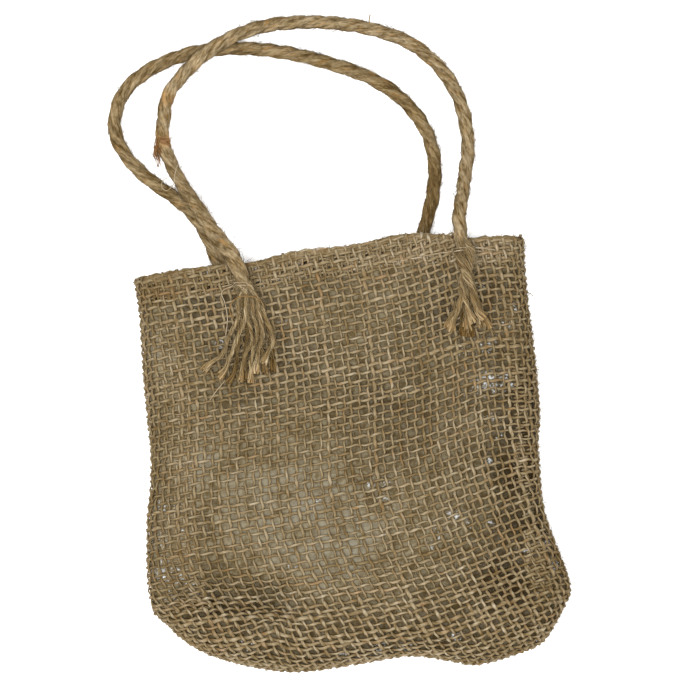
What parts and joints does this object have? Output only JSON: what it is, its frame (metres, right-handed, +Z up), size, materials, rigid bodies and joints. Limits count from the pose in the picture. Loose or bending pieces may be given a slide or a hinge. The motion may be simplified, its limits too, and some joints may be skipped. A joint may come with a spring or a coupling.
{
  "type": "jute tote bag",
  "caption": "Small open-weave jute tote bag with a clear film liner and slack twisted rope handles, lying on its back with its mouth open.",
  "frame": {"origin": "on the surface, under the middle of the bag's outline without its handles", "axes": "+Z up through the bag's flat thickness, +Y from the bottom towards the mouth and the handles, +X to the right of the front wall"},
  "size_m": [0.1747, 0.2713, 0.0286],
  "materials": {
    "jute_cloth": "open plain weave of hairy single jute yarn, undyed",
    "clear_film": "thin clear film, glossy and crinkled",
    "jute_rope": "three-strand twisted jute rope, slightly hairy",
    "jute_yarn": "untwisted jute yarn with fluffy cut ends"
  },
  "bodies": {
    "root": {"bag_cloth": "jute_cloth", "film_liner": "clear_film", "handle_front": "jute_rope", "handle_back": "jute_rope", "frayed_end_front_left": "jute_yarn", "frayed_end_front_right": "jute_yarn", "frayed_end_back_left": "jute_yarn", "frayed_end_back_right": "jute_yarn"}
  },
  "joints": []
}
